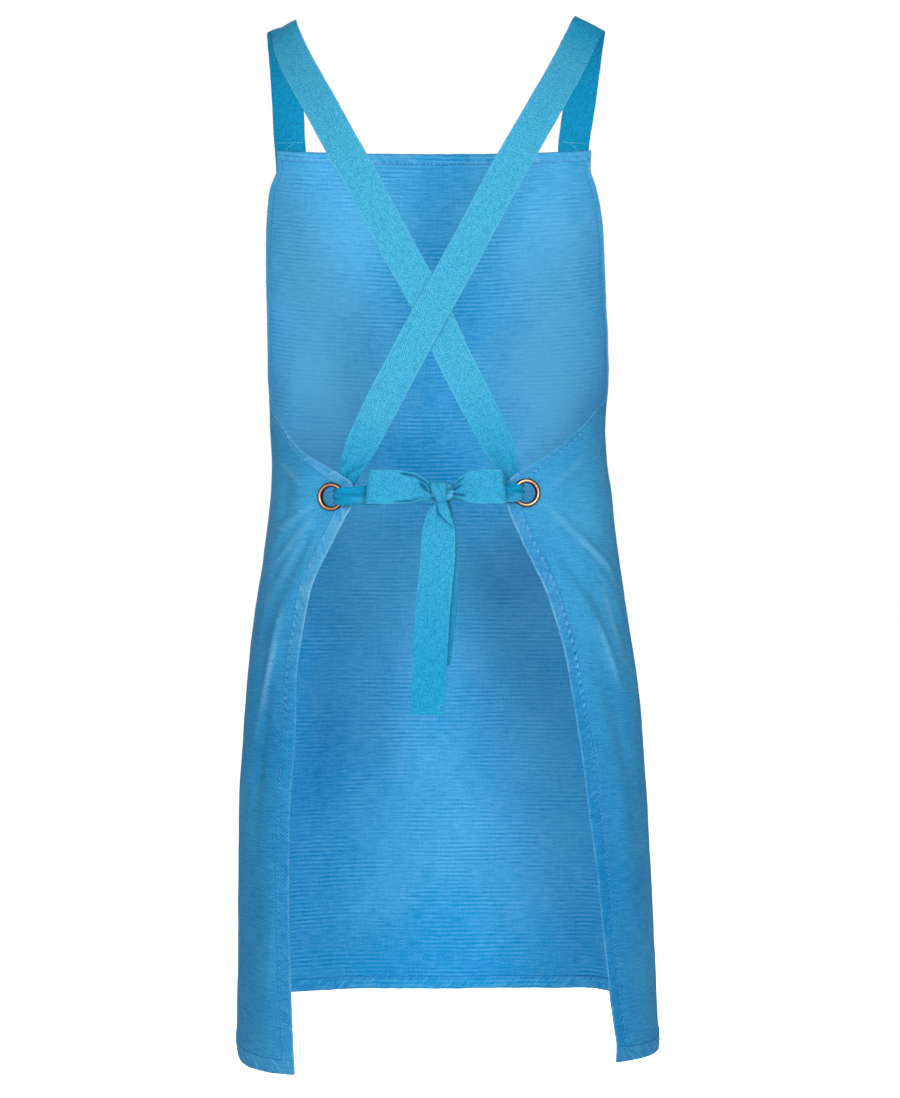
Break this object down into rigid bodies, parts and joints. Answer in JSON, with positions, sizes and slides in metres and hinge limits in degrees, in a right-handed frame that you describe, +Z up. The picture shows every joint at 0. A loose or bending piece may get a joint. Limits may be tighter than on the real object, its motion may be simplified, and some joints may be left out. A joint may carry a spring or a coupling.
{
  "type": "cross back apron",
  "caption": "Cotton canvas cross back apron in its worn form, with tape straps crossed at the back, drawn through eyelets in the side flaps and tied in a bow.",
  "frame": {"origin": "midway between the two places where the straps lie on the shoulders, at their height", "axes": "+Z up, the wearer's front faces -Y, so the open back with the bow faces +Y and +X is the wearer's left"},
  "size_m": [0.386, 0.2604, 0.9485],
  "materials": {
    "canvas": "washed matt cotton canvas",
    "tape": "matt herringbone cotton tape",
    "copper": "antique copper plating, polished by wear"
  },
  "bodies": {
    "root": {"apron_body": "canvas", "strap_left": "tape", "strap_right": "tape", "eyelet_left": "copper", "eyelet_right": "copper", "bow_loop_left": "tape", "bow_loop_right": "tape", "bow_knot": "tape", "tie_tail_front": "tape", "tie_tail_back": "tape"}
  },
  "joints": []
}
